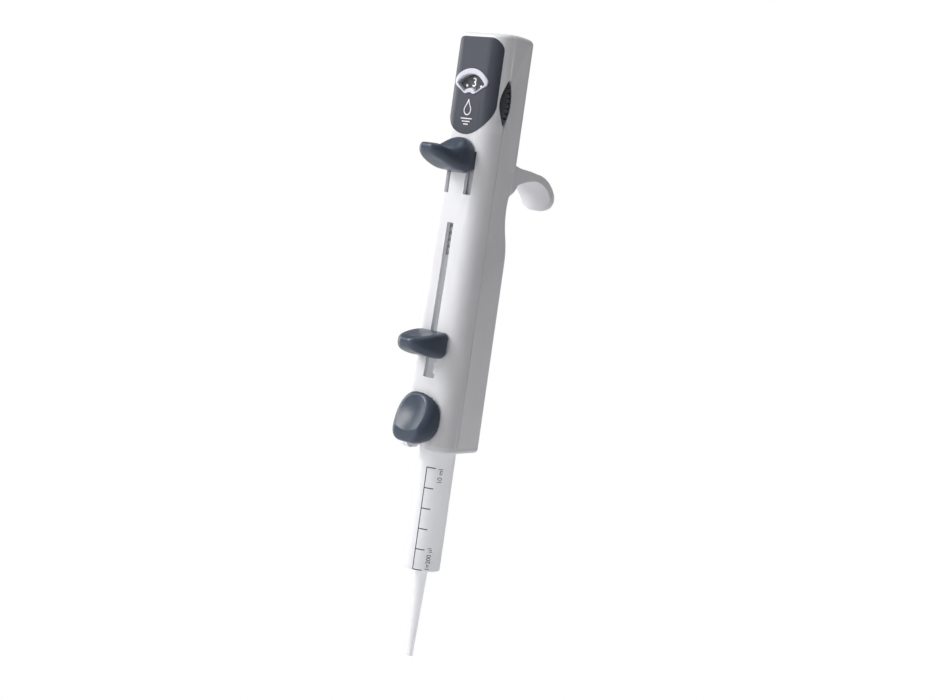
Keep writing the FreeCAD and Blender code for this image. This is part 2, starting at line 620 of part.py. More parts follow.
slide_plate = box("slide_plate", ("-slide_half", "slide_half"), ("slide_front", "slide_back"),
                  ("slide_foot", "stem_head"))
spring_ear = box("spring_ear", ("-slide_half - 2.8", "-slide_half + 2.8"),
                 ("slide_back", "-2.2"), ("slide_foot", "slide_foot + 2"))
ear_hole = rod("ear_hole", "Z", ("spring_across", "spring_depth"),
               ("slide_foot - 1", "slide_foot + 3"), "post_radius + 0.3")
pawl_arm = box("pawl_arm", ("cheek_low", "cheek_high"), ("slide_back", "pawl_plane + 1.1"),
               ("pawl_level - 2.5", "pawl_level + 1.5"))
pawl_room = box("pawl_room", ("pawl_low - 0.15", "pawl_high + 0.15"),
                ("pawl_plane - 2.4", "pawl_plane + 2"), ("pawl_level - 4", "pawl_level + 4"))
pawl_pin = keep("pawl_pin", rod("pawl_pin", "X", ("pawl_plane", "pawl_level"),
                                ("cheek_low", "cheek_high"), "pawl_pin_radius"))
slide_solid = fuse("slide_solid", [slide_plate, spring_ear, pawl_arm])
dispense_slide = keep("dispense_slide", cut("dispense_slide", slide_solid,
                                            [ear_hole, pawl_room, pawl_pin]))

pawl_eye = rod("pawl_eye", "X", ("pawl_plane", "pawl_level"), ("pawl_low", "pawl_high"), "1.5")
pawl_bar = new_body("pawl_bar")
pad(pawl_bar, outline(pawl_bar, "YZ", [
    ("pawl_plane - 1.2", "pawl_level"), ("pawl_plane - 0.2", "pawl_level - 12"),
    ("-0.25", "pawl_level - 13"), ("-0.25", "pawl_level - 12.4"),
    ("pawl_plane + 1.4", "pawl_level - 9"), ("pawl_plane + 1.2", "pawl_level")],
    level="pawl_low"), "pawl_high - pawl_low")
pawl_bore = rod("pawl_bore", "X", ("pawl_plane", "pawl_level"), ("0", "6"),
                "pawl_pin_radius + running_gap")
drive_pawl = keep("drive_pawl", cut("drive_pawl", fuse("pawl_solid", [pawl_eye, pawl_bar]),
                                    [pawl_bore]))

coil = doc.addObject("Part::Helix", "coil")
coil.setExpression("Radius", cells("spring_radius"))
coil.setExpression("Height", cells("slide_foot - spring_foot - 4 * wire_radius"))
coil.setExpression("Pitch", cells("(slide_foot - spring_foot - 4 * wire_radius) / spring_turns"))
wire_end = doc.addObject("Part::Circle", "wire_end")
wire_end.setExpression("Radius", cells("wire_radius"))
wire_end.Placement = FreeCAD.Placement(V(0, 0, 0), FreeCAD.Rotation(V(1, 0, 0), 90))
wire_end.setExpression("Placement.Base.x", cells("spring_radius"))
spring_sweep = doc.addObject("Part::Sweep", "spring_sweep")
spring_sweep.Sections = [wire_end]
spring_sweep.Spine = coil
spring_sweep.Solid = True
spring_sweep.Frenet = True
spring_sweep.setExpression("Placement.Base.x", cells("spring_across"))
spring_sweep.setExpression("Placement.Base.y", cells("spring_depth"))
spring_sweep.setExpression("Placement.Base.z", cells("spring_foot + 2 * wire_radius"))
return_spring = keep("return_spring", spring_sweep)

# ---------------------------------------------------------------- filling lever and rack

wedge = blended("wedge", [
    (-12.5, 10.2, 147.4, 160.0, 3.8, 2.8), (-18.0, 10.6, 147.1, 159.4, 3.8, 2.8),
    (-23.5, 10.2, 147.9, 158.2, 3.6, 2.8), (-27.4, 9.0, 148.9, 157.3, 3.4, 3.0),
    (-30.2, 7.0, 150.0, 156.6, 3.0, 2.9), (-31.8, 4.8, 151.3, 155.7, 2.1, 2.1),
    (-32.6, 2.8, 152.4, 154.8, 1.1, 1.1)])
finger_rest = cut("finger_rest", wedge, [lever_form])
fill_stem = box("fill_stem", ("track_low + stem_gap", "track_high - stem_gap"),
                ("-16", "rack_front"), ("fill_stem_foot", "fill_stem_head"))
fill_lever = keep("fill_lever", fuse("fill_lever", [finger_rest, fill_stem]))

rack_bar = new_body("rack_bar")
pad(rack_bar, outline(rack_bar, "XY", [
    ("-rack_half", "rack_front"), ("rack_half", "rack_front"), ("rack_half", "rack_back"),
    ("-rack_half", "rack_back")], level="rack_foot"), "rack_head - rack_foot")
tooth_foot = "rack_head - tooth_count * tooth_pitch"
tooth_gap = pocket(rack_bar, outline(rack_bar, "YZ", [
    ("rack_front - 0.2", "%s + tooth_pitch * 0.1" % tooth_foot),
    ("rack_front + tooth_depth", "%s + tooth_pitch * 0.15" % tooth_foot),
    ("rack_front - 0.2", "%s + tooth_pitch * 0.95" % tooth_foot)], level="-rack_half - 1"),
    "2 * rack_half + 2")
teeth = rack_bar.newObject("PartDesign::LinearPattern", "teeth")
teeth.Originals = [tooth_gap]
teeth.Direction = (rack_bar.Origin.OriginFeatures[2], [""])
teeth.setExpression("Length", cells("(tooth_count - 1) * tooth_pitch"))
teeth.setExpression("Occurrences", cells("tooth_count"))
rack_bar.Tip = teeth
rack = keep("rack", rack_bar)

gripper_body = rod("gripper_body", "Z", ("0", "0"), ("gripper_foot", "rack_foot"),
                   "gripper_radius")
gripper_hole = rod("gripper_hole", "Z", ("0", "0"), ("gripper_foot - 1", "rack_foot - 3"),
                   "gripper_bore")
gripper_slot = box("gripper_slot", ("-0.4", "0.4"), ("-6", "6"), ("gripper_foot - 1",
                                                                "gripper_foot + 9"))
piston_gripper = keep("piston_gripper", cut("piston_gripper", gripper_body,
                                            [gripper_hole, gripper_slot]))

# ---------------------------------------------------------------- dispenser tip

barrel = new_body("barrel")
bore_floor = "barrel_foot + barrel_floor"
revolve(barrel, outline(barrel, "XZ", [
    ("outlet_bore", "0"), ("outlet_outer", "0"), ("cone_outer", "barrel_foot"),
    ("barrel_radius - 0.7", "barrel_foot"), ("barrel_radius", "barrel_foot + 0.7"),
    ("barrel_radius", "visible_top"), ("collar_radius", "visible_top"),
    ("collar_radius", "flange_foot"), ("flange_radius", "flange_foot"),
    ("flange_radius", "flange_head"), ("bore_radius", "flange_head"),
    ("bore_radius", bore_floor), ("cone_bore", bore_floor), ("outlet_bore", "outlet_length")],
    {3: ("0.7", 1)}), "V_Axis")
tip_barrel = keep("tip_barrel", barrel)

piston = new_body("piston")
piston_foot = bore_floor + " + 0.3"
revolve(piston, outline(piston, "XZ", [
    ("0", piston_foot), ("bore_radius - piston_gap", piston_foot),
    ("bore_radius - piston_gap", piston_foot + " + 1"), ("6.6", piston_foot + " + 1"),
    ("6.6", piston_foot + " + 2.2"), ("bore_radius - piston_gap", piston_foot + " + 2.2"),
    ("bore_radius - piston_gap", piston_foot + " + 3.4"), ("rod_radius", piston_foot + " + 4.6"),
    ("rod_radius", "rack_foot - 3"), ("0", "rack_foot - 3")]), "V_Axis")
tip_piston = keep("tip_piston", piston)
seal = new_body("seal")
revolve(seal, outline(seal, "XZ", [
    ("6.6", piston_foot + " + 1"), ("bore_radius - piston_gap / 2", piston_foot + " + 1"),
    ("bore_radius - piston_gap / 2", piston_foot + " + 2.2"),
    ("6.6", piston_foot + " + 2.2")]), "V_Axis")
piston_seal = keep("piston_seal", seal)

# ---------------------------------------------------------------- locking lever

# An egg-shaped pad that stands out most at its foot, a knuckle on the pin and a claw under
# the tip's flange. The pad's head is bevelled behind, so that it clears the casing when it
# swings.
lock_egg = blended("lock_egg", [
    (-12.5, 12.4, 107.4, 130.9, 8.2, 11.6), (-16.5, 12.5, 106.4, 130.7, 8.2, 11.6),
    (-19.2, 12.1, 105.7, 128.6, 8.0, 11.2), (-21.8, 10.9, 105.5, 122.8, 7.2, 9.6),
    (-23.6, 9.2, 106.1, 117.2, 5.0, 5.8), (-24.6, 7.0, 107.5, 113.8, 2.8, 3.2)])
lock_bevel = new_body("lock_bevel_cut")
pad(lock_bevel, outline(lock_bevel, "YZ", [
    ("lock_plane - 1.7", "lock_level - 0.3"), ("-9", "lock_level - 0.3"), ("-9", "lock_head + 2"),
    ("lock_plane - 1.7 - (lock_head + 2.3 - lock_level) * lock_bevel", "lock_head + 2")],
    level="-20"), "40")
dish = ball("dish", ("0", "-21.5 - dish_radius * cos(23 * 1deg)",
                     "117.0 + dish_radius * sin(23 * 1deg)"), "dish_radius")
lock_pad = cut("lock_pad", lock_egg, [lever_form, lock_bevel, dish])
lock_arm = box("lock_arm", ("-lock_stem", "lock_stem"), ("-16.5", "-11.6"),
               ("lock_level - 19", "lock_level"))
knuckle = rod("knuckle", "X", ("lock_plane", "lock_level"), ("-lock_stem", "lock_stem"),
              "knuckle_radius")
claw = box("claw", ("-lock_stem", "lock_stem"), ("-16", "-9"), ("flange_foot - 3.6",
                                                              "flange_foot - 0.5"))
claw_round = rod("claw_round", "Z", ("0", "0"), ("flange_foot - 5", "flange_foot + 12"),
                 "collar_radius + 0.35")
arm_round = rod("arm_round", "Z", ("0", "0"), ("flange_foot - 0.4", "socket_head"),
                "flange_radius + 0.6")
pin_bore = rod("pin_bore", "X", ("lock_plane", "lock_level"), ("-20", "20"),
               "lock_pin_radius + running_gap")
lock_solid = fuse("lock_solid", [lock_pad, lock_arm, knuckle, claw])
lock_lever = keep("lock_lever", cut("lock_lever", lock_solid, [claw_round, arm_round,
                                                               pin_bore]))

# ---------------------------------------------------------------- check and write

doc.recompute()
for thing in doc.Objects:
    if "Invalid" in thing.State or "Error" in thing.State:
        raise RuntimeError("%s is in state %s" % (thing.Name, thing.State))
os.makedirs("parts", exist_ok=True)
for name, solid in PARTS.items():
    if solid.Shape.isNull() or not solid.Shape.isValid():
        raise RuntimeError(name + " has no valid shape")
    solid.Shape.exportStep("parts/%s.step" % name)
    print("%-20s %8.1f mm3" % (name, solid.Shape.Volume))
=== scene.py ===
"""Looks for the hand-held repeating pipette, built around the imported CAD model."""
import json
import math

import bmesh
import bpy
from mathutils import Matrix, Vector


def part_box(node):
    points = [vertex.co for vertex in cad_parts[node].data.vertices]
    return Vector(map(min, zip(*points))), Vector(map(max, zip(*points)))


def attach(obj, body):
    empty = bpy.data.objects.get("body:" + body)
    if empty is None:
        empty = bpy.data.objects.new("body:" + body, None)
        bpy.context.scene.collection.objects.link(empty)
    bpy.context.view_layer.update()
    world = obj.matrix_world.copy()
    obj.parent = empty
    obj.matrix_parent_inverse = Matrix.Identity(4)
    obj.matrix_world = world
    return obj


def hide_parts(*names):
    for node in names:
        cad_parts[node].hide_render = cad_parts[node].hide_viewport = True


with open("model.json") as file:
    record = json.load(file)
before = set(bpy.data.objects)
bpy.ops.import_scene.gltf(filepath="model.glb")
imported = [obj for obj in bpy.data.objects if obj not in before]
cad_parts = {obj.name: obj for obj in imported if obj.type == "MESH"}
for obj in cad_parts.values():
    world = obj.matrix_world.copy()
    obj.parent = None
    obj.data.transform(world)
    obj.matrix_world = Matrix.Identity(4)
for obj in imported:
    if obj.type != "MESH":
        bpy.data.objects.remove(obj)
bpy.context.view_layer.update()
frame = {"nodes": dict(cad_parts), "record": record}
NODES = frame["nodes"]
BODY_OF = {node: body for body, nodes in frame["record"]["behaviour"]["bodies"].items()
           for node in nodes}
MM = 0.001


# ---------------------------------------------------------------- shader helpers

class Shader:
    """A material's node tree, with short calls for the nodes that the materials share."""

    def __init__(self, name):
        self.material = bpy.data.materials.new(name)
        self.material.use_nodes = True
        self.tree = self.material.node_tree
        self.tree.nodes.clear()
        self.output = self.tree.nodes.new("ShaderNodeOutputMaterial")
        self.surface = self.tree.nodes.new("ShaderNodeBsdfPrincipled")
        self.link(self.surface.outputs["BSDF"], self.output.inputs["Surface"])
        self.place = self.tree.nodes.new("ShaderNodeTexCoord").outputs["Object"]

    @classmethod
    def of(cls, material):
        """The helper again, for a material that it has made."""
        shader = cls.__new__(cls)
        shader.material, shader.tree = material, material.node_tree
        kinds = {node.bl_idname: node for node in shader.tree.nodes}
        shader.output = kinds["ShaderNodeOutputMaterial"]
        shader.surface = kinds["ShaderNodeBsdfPrincipled"]
        shader.place = kinds["ShaderNodeTexCoord"].outputs["Object"]
        return shader

    def link(self, source, target):
        self.tree.links.new(source, target)

    def set(self, **values):
        """Sets sockets of the Principled shader; underscores in names stand for spaces."""
        for name, value in values.items():
            self.surface.inputs[name.replace("_", " ")].default_value = value
        return self

    def noise(self, scale, detail=3.0, roughness=0.5, stretch=None):
        """Noise over the object's own coordinates, in features per metre."""
        node = self.tree.nodes.new("ShaderNodeTexNoise")
        node.inputs["Scale"].default_value = scale
        node.inputs["Detail"].default_value = detail
        node.inputs["Roughness"].default_value = roughness
        source = self.place
        if stretch:
            mapping = self.tree.nodes.new("ShaderNodeMapping")
            mapping.inputs["Scale"].default_value = stretch
            self.link(source, mapping.inputs["Vector"])
            source = mapping.outputs["Vector"]
        self.link(source, node.inputs["Vector"])
        return node.outputs["Fac"]

    def ramp(self, fac, stops):
        """A colour ramp from (position, colour or grey) stops."""
        node = self.tree.nodes.new("ShaderNodeValToRGB")
        elements = node.color_ramp.elements
        while len(elements) < len(stops):
            elements.new(0.5)
        for element, (position, colour) in zip(elements, stops):
            element.position = position
            if isinstance(colour, float):
                colour = (colour, colour, colour)
            element.color = (*colour, 1.0)
        self.link(fac, node.inputs["Fac"])
        return node.outputs["Color"]

    def bump(self, height, distance, strength=1.0, after=None):
        """Bump on the shader's normal, added to an earlier bump if one is given."""
        node = self.tree.nodes.new("ShaderNodeBump")
        node.inputs["Distance"].default_value = distance
        node.inputs["Strength"].default_value = strength
        self.link(height, node.inputs["Height"])
        if after:
            self.link(after, node.inputs["Normal"])
        self.link(node.outputs["Normal"], self.surface.inputs["Normal"])
        return node.outputs["Normal"]

    def pointiness(self, low, high):
        """0 in hollows to 1 on edges."""
        node = self.tree.nodes.new("ShaderNodeNewGeometry")
        return self.ramp(node.outputs["Pointiness"], [(low, 0.0), (high, 1.0)])

    def mix(self, fac, first, second):
        """Mixes two colours, each a tuple or a socket."""
        node = self.tree.nodes.new("ShaderNodeMix")
        node.data_type = "RGBA"
        if isinstance(fac, float):
            node.inputs["Factor"].default_value = fac
        else:
            self.link(fac, node.inputs["Factor"])
        for socket, colour in (("A", first), ("B", second)):
            slot = [s for s in node.inputs if s.name == socket and s.type == "RGBA"][0]
            if isinstance(colour, tuple):
                slot.default_value = (*colour, 1.0)
            else:
                self.link(colour, slot)
        return [s for s in node.outputs if s.type == "RGBA"][0]

    def colour(self, source):
        if isinstance(source, tuple):
            self.surface.inputs["Base Color"].default_value = (*source, 1.0)
        else:
            self.link(source, self.surface.inputs["Base Color"])
        return self

    def rough(self, source):
        self.link(source, self.surface.inputs["Roughness"])
        return self


def moulded(name, light, dark, rough, grain=0.012, scale=2200.0, coat=0.0, specular=0.5):
    """Injection-moulded plastic: a fine spark-eroded grain, faint flow clouds, rubbed edges."""
    shader = Shader(name)
    clouds = shader.noise(38.0, 4.0)
    base = shader.mix(shader.ramp(clouds, [(0.35, 0.0), (0.65, 1.0)]), dark, light)
    rubbed = tuple(min(1.0, channel * 1.12 + 0.012) for channel in light)
    shader.colour(shader.mix(shader.pointiness(0.53, 0.60), base, rubbed))
    shader.rough(shader.ramp(shader.noise(160.0, 5.0), [(0.3, rough - 0.05),
                                                        (0.7, rough + 0.05)]))
    shader.bump(shader.noise(scale, 2.0), grain * MM)
    shader.set(Coat_Weight=coat, Coat_Roughness=0.18, Specular_IOR_Level=specular)
    return shader.material


def steel(name, colour, rough, stretch):
    """Drawn or turned steel with fine lines along one direction."""
    shader = Shader(name)
    lines = shader.noise(900.0, 4.0, stretch=stretch)
    shader.colour(shader.mix(shader.ramp(lines, [(0.3, 0.0), (0.7, 1.0)]),
                             tuple(channel * 0.8 for channel in colour), colour))
    shader.rough(shader.ramp(lines, [(0.2, rough - 0.06), (0.8, rough + 0.08)]))
    shader.bump(lines, 0.004 * MM)
    shader.set(Metallic=1.0)
    return shader.material


def clear(name, tint, rough, transmission, ior, grain, clouds=(0.95, 1.0)):
    """Clear or milky plastic."""
    shader = Shader(name)
    milk = shader.noise(60.0, 4.0, stretch=(1.0, 1.0, 0.35))
    shader.colour(shader.mix(shader.ramp(milk, [(0.3, 0.0), (0.7, 1.0)]),
                             tuple(channel * clouds[0] for channel in tint),
                             tuple(channel * clouds[1] for channel in tint)))
    shader.rough(shader.ramp(shader.noise(220.0, 4.0), [(0.3, rough * 0.9),
                                                        (0.7, rough * 1.1)]))
    shader.bump(shader.noise(300.0, 2.0), grain * MM)
    shader.set(Transmission_Weight=transmission, IOR=ior)
    return shader.material


def lit_through(material, low, high, colour):
    """Paints light onto the surfaces within a box: a constant emission that stands in for the
    light coming through the walls.
    """
    shader = Shader.of(material)
    split = shader.tree.nodes.new("ShaderNodeSeparateXYZ")
    shader.link(shader.place, split.inputs["Vector"])
    inside = None
    for axis, start, end in zip("XYZ", low, high):
        middle, half = (start + end) / 2, (end - start) / 2
        node = shader.tree.nodes.new("ShaderNodeMath")
        node.operation = "COMPARE"
        shader.link(split.outputs[axis], node.inputs[0])
        node.inputs[1].default_value = middle
        node.inputs[2].default_value = half
        if inside is None:
            inside = node.outputs["Value"]
        else:
            both = shader.tree.nodes.new("ShaderNodeMath")
            both.operation = "MULTIPLY"
            shader.link(inside, both.inputs[0])
            shader.link(node.outputs["Value"], both.inputs[1])
            inside = both.outputs["Value"]
    # painted light: the emission colour, on within the box and black outside it
    shader.link(shader.mix(inside, (0.0, 0.0, 0.0), colour),
                shader.surface.inputs["Emission Color"])
    shader.set(Emission_Strength=1.0)


CASING = moulded("casing_white", (0.84, 0.84, 0.865), (0.81, 0.81, 0.84), 0.40, 0.006)
SOCKET = moulded("socket_white", (0.80, 0.80, 0.81), (0.76, 0.76, 0.77), 0.50)
LEVER = moulded("lever_slate", (0.055, 0.075, 0.112), (0.049, 0.067, 0.101), 0.34, 0.010,
                coat=0.12)
LABEL = moulded("label_slate", (0.036, 0.042, 0.061), (0.032, 0.038, 0.056), 0.44, 0.004)
BEZEL = moulded("bezel_lavender", (0.74, 0.75, 0.84), (0.70, 0.71, 0.80), 0.28, 0.003)
DIAL = moulded("dial_graphite", (0.030, 0.033, 0.040), (0.022, 0.025, 0.031), 0.42, 0.010)
PLATE = moulded("plate_white", (0.84, 0.84, 0.87), (0.81, 0.81, 0.84), 0.26, 0.003)
SLIDE = moulded("slide_grey", (0.46, 0.47, 0.50), (0.42, 0.43, 0.46), 0.38)
PISTON = moulded("piston_white", (0.84, 0.85, 0.87), (0.80, 0.81, 0.83), 0.34, 0.006)
SEAL = moulded("seal_pale", (0.66, 0.66, 0.66), (0.60, 0.60, 0.60), 0.60, 0.010)
INK_WHITE = moulded("ink_white", (0.90, 0.90, 0.92), (0.87, 0.87, 0.89), 0.45, 0.002)
INK_BLACK = moulded("ink_black", (0.012, 0.012, 0.015), (0.018, 0.018, 0.022), 0.45, 0.002)
SPRING_STEEL = steel("spring_steel", (0.55, 0.55, 0.57), 0.30, (1.0, 1.0, 0.06))
PIN_STEEL = steel("pin_steel", (0.62, 0.62, 0.64), 0.26, (0.06, 1.0, 1.0))
LENS = clear("lens_clear", (0.98, 0.985, 1.0), 0.04, 1.0, 1.08, 0.0002)
TIP = clear("tip_milky", (0.97, 0.972, 0.985), 0.50, 0.46, 1.25, 0.003, clouds=(0.985, 1.0))
# Painted light: a faint emission that brightens the milky tip beyond what its lighting gives.
Shader.of(TIP).set(Emission_Color=(0.96, 0.97, 1.0, 1.0), Emission_Strength=0.05)

# Painted light: the casing, socket and slide glow faintly within this box, standing in for
# light that comes through the walls into the housing.
PAINTED_LIGHT_LOW, PAINTED_LIGHT_HIGH = (-15.0 * MM, -7.9 * MM, 108.0 * MM), (15.0 * MM, 5.5 * MM, 0.299)
PAINTED_INNER_LIGHT = (0.15, 0.155, 0.155)
for inner in (CASING, SOCKET, SLIDE):
    lit_through(inner, PAINTED_LIGHT_LOW, PAINTED_LIGHT_HIGH, PAINTED_INNER_LIGHT)

FINISH = {
    CASING: ["front_shell", "rear_shell", "bottom_cap"],
    SOCKET: ["tip_socket", "track_stop", "guide_frame"],
    LEVER: ["dispense_lever", "fill_lever", "lock_lever"],
    LABEL: ["label_panel"], BEZEL: ["window_bezel"], LENS: ["window_lens"],
    PLATE: ["volume_table_plate"], DIAL: ["selector_dial"],
    SLIDE: ["dispense_slide", "rack", "piston_gripper", "step_shield"],
    SPRING_STEEL: ["return_spring", "holding_leaf", "detent_spring"],
    PIN_STEEL: ["dial_axle", "lock_lever_pin", "pawl_pin", "spring_post", "drive_pawl"],
    TIP: ["tip_barrel"], PISTON: ["tip_piston"], SEAL: ["piston_seal"],
}
for material, names in FINISH.items():
    for name in names:
        NODES[name].data.materials.clear()
        NODES[name].data.materials.append(material)


# ---------------------------------------------------------------- mesh helpers

def add_mesh(name, mesh, material, body):
    """Puts a mesh in the scene as a piece that rides on a body."""
    piece = bpy.data.objects.new(name, mesh)
    bpy.context.scene.collection.objects.link(piece)
    mesh.materials.clear()
    mesh.materials.append(material)
    for face in mesh.polygons:
        face.use_smooth = True
    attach(piece, body)
    return piece


def apply_modifiers(piece):
    """Bakes a piece's modifiers into its own mesh."""
    bpy.context.view_layer.update()
    graph = bpy.context.evaluated_depsgraph_get()
    mesh = bpy.data.meshes.new_from_object(piece.evaluated_get(graph), depsgraph=graph)
    piece.modifiers.clear()
    piece.data = mesh
    return piece


def softened(node, voxel, passes):
    """A finely meshed copy of a CAD node, with its sharp edges melted into soft radii."""
    piece = bpy.data.objects.new(node + "_soft", NODES[node].data.copy())
    bpy.context.scene.collection.objects.link(piece)
    remesh = piece.modifiers.new("remesh", "REMESH")
    remesh.mode = "VOXEL"
    remesh.voxel_size = voxel * MM
    smooth = piece.modifiers.new("smooth", "SMOOTH")
    smooth.factor = 0.5
    smooth.iterations = passes
    apply_modifiers(piece)
    for face in piece.data.polygons:
        face.use_smooth = True
    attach(piece, BODY_OF[node])
    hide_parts(node)
    return piece


def with_round_hook(node, reach, radius):
    """A copy of the rear shell whose hook, further back than reach, has rounded edges."""
    piece = bpy.data.objects.new(node + "_round", NODES[node].data.copy())
    bpy.context.scene.collection.objects.link(piece)
    shell = bmesh.new()
    shell.from_mesh(piece.data)
    bmesh.ops.remove_doubles(shell, verts=shell.verts, dist=0.001 * MM)
    hook_faces = [face for face in shell.faces
                  if min(vertex.co.y for vertex in face.verts) > reach]
    hook_edges = {edge for face in hook_faces for edge in face.edges}
    bmesh.ops.dissolve_limit(shell, angle_limit=math.radians(0.4), edges=list(hook_edges),
                             verts=list({vertex for edge in hook_edges
                                         for vertex in edge.verts}))
    sharp = [edge for edge in shell.edges if len(edge.link_faces) == 2
             and edge.calc_face_angle() > math.radians(40)
             and min(vertex.co.y for vertex in edge.verts) > reach]
    bmesh.ops.bevel(shell, geom=sharp, offset=radius, segments=5, profile=0.5,
                    affect="EDGES", clamp_overlap=True)
    bmesh.ops.recalc_face_normals(shell, faces=shell.faces)
    shell.to_mesh(piece.data)
    shell.free()
    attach(piece, BODY_OF[node])
    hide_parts(node)
    return piece


def glyphs(text, size, thickness):
    """A text as a flat mesh around its own centre, in the XY plane, metres."""
    curve = bpy.data.curves.new("glyph_curve", "FONT")
    curve.body = text
    curve.size = size
    curve.align_x = "CENTER"
    curve.align_y = "CENTER"
    curve.extrude = thickness
    curve.resolution_u = 6
    holder = bpy.data.objects.new("glyph_holder", curve)
    bpy.context.scene.collection.objects.link(holder)
    bpy.context.view_layer.update()
    graph = bpy.context.evaluated_depsgraph_get()
    mesh = bpy.data.meshes.new_from_object(holder.evaluated_get(graph), depsgraph=graph)
    bpy.data.objects.remove(holder)
    return mesh


# Node, voxel size in mm, smoothing passes and a material slot name, which is not used, of each
# softened copy.
SOFTENED = (
    ("dispense_lever", 0.32, 18, "lever_plastic"),
    ("fill_lever", 0.32, 18, "lever_plastic"),
    ("lock_lever", 0.32, 10, "lever_plastic"),
    ("window_bezel", 0.17, 5, "bezel_plastic"),
)
for node, voxel, passes, slot in SOFTENED:
    softened(node, voxel, passes)

HOOK_CLEARANCE, HOOK_ROUND = 1.5 * MM, 1.1 * MM
with_round_hook("rear_shell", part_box("volume_table_plate")[1].y + HOOK_CLEARANCE, HOOK_ROUND)


# ---------------------------------------------------------------- dial numbers

DIGIT_SIZE, DIGIT_RING, DOT_RADIUS = 6.0 * MM, 8.1 * MM, 0.6 * MM


def dial_numbers():
    """Five numbers and five dots, printed round the dial's face, with the 3 at the top."""
    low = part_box("selector_dial")[0]
    axle_low, axle_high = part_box("dial_axle")
    centre = Vector(((axle_low.x + axle_high.x) / 2, low.y, (axle_low.z + axle_high.z) / 2))
    joined = bmesh.new()
    for half_step in range(10):
        turn = math.radians(36 * half_step)
        whole, half = divmod(half_step + 4, 2)
        number = whole % 5 + 1
        if half:
            mesh = bpy.data.meshes.new("dot")
            dot = bmesh.new()
            bmesh.ops.create_cone(dot, cap_ends=True, segments=24, radius1=DOT_RADIUS,
                                  radius2=DOT_RADIUS, depth=0.04 * MM)
            dot.to_mesh(mesh)
            dot.free()
        else:
            mesh = glyphs(str(number), DIGIT_SIZE, 0.02 * MM)
        upright = Matrix.Rotation(math.radians(90), 4, "X")
        mesh.transform(Matrix.Translation((0, 0, DIGIT_RING)) @ upright)
        mesh.transform(Matrix.Translation(centre) @ Matrix.Rotation(-turn, 4, "Y"))
        joined.from_mesh(mesh)
    mesh = bpy.data.meshes.new("dial_numbers")
    joined.to_mesh(mesh)
    joined.free()
    add_mesh("dial_numbers", mesh, INK_WHITE, "selector")


dial_numbers()


# ---------------------------------------------------------------- mark on the label

def tube_outline(points, radius, closed=True):
    """A thin raised line through flat points (x, z), as a mesh in the XZ plane."""
    curve = bpy.data.curves.new("line", "CURVE")
    curve.dimensions = "3D"
    spline = curve.splines.new("POLY")
    spline.points.add(len(points) - 1)
    for point, (x, z) in zip(spline.points, points):
        point.co = (x, 0, z, 1)
    spline.use_cyclic_u = closed
    curve.bevel_depth = radius
    curve.bevel_resolution = 2
    holder = bpy.data.objects.new("line", curve)
    bpy.context.scene.collection.objects.link(holder)
    bpy.context.view_layer.update()
    graph = bpy.context.evaluated_depsgraph_get()
    mesh = bpy.data.meshes.new_from_object(holder.evaluated_get(graph), depsgraph=graph)
    bpy.data.objects.remove(holder)
    return mesh


PRINT_LIFT, MARK_HEIGHT = 0.02 * MM, 11.5 * MM
DROPLET_LINE, BAR_LINE = 0.31 * MM, 0.28 * MM


def label_mark():
    """A generic droplet over three short bars, printed low on the label."""
    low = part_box("label_panel")[0]
    centre = Vector((0, low.y + PRINT_LIFT, low.z + MARK_HEIGHT))
    droplet = []
    for step in range(48):
        turn = 2 * math.pi * step / 48
        pull = max(0.0, math.cos(turn)) ** 6
        droplet.append((2.2 * MM * math.sin(turn) * (1 - 0.75 * pull),
                        (2.3 * math.cos(turn) + 2.7 * pull) * MM))
    pieces = [tube_outline(droplet, DROPLET_LINE)]
    for row, half in enumerate((3.7, 2.7, 1.6)):
        level = -(4.1 + 1.35 * row) * MM
        pieces.append(tube_outline([(-half * MM, level), (half * MM, level)], BAR_LINE, False))
    joined = bmesh.new()
    for mesh in pieces:
        mesh.transform(Matrix.Diagonal((1, 0.25, 1, 1)))
        mesh.transform(Matrix.Translation(centre))
        joined.from_mesh(mesh)
    mesh = bpy.data.meshes.new("label_mark")
    joined.to_mesh(mesh)
    joined.free()
    add_mesh("label_mark", mesh, INK_WHITE, BODY_OF["label_panel"])


label_mark()


# ---------------------------------------------------------------- print on the barrel

def wrap_on_barrel(mesh, turn, level, radius):
    """Bends a flat print round the tip's barrel: x becomes a turn about Z, y a height."""
    grid = bmesh.new()
    grid.from_mesh(mesh)
    across = [vertex.co.x for vertex in grid.verts]
    step = 0.35 * MM
    for index in range(math.ceil(min(across) / step), math.ceil(max(across) / step)):
        bmesh.ops.bisect_plane(grid, geom=grid.verts[:] + grid.edges[:] + grid.faces[:],
                               plane_co=(index * step, 0, 0), plane_no=(1, 0, 0))
    for vertex in grid.verts:
        x, y, z = vertex.co
        angle = turn + x / radius
        reach = radius + z
        vertex.co = Vector((reach * math.sin(angle), -reach * math.cos(angle), level + y))
    grid.to_mesh(mesh)
    grid.free()
    return mesh


def stripe(width, height, centre):
    """A flat strip in the XY plane, cut finely enough to bend."""
    mesh = bpy.data.meshes.new("stripe")
    strip = bmesh.new()
    cuts = max(2, int(width / (0.3 * MM)))
    rows = []
    for step in range(cuts + 1):
        x = centre[0] - width / 2 + width * step / cuts
        rows.append([strip.verts.new((x, centre[1] + sign * height / 2, lift))
                     for sign, lift in ((-1, 0.0), (1, 0.0), (1, 0.03 * MM), (-1, 0.03 * MM))])
    for first, second in zip(rows, rows[1:]):
        for side in range(4):
            other = (side + 1) % 4
            strip.faces.new((first[side], first[other], second[other], second[side]))
    strip.faces.new(rows[0][::-1])
    strip.faces.new(rows[-1])
    bmesh.ops.recalc_face_normals(strip, faces=strip.faces)
    strip.to_mesh(mesh)
    strip.free()
    return mesh


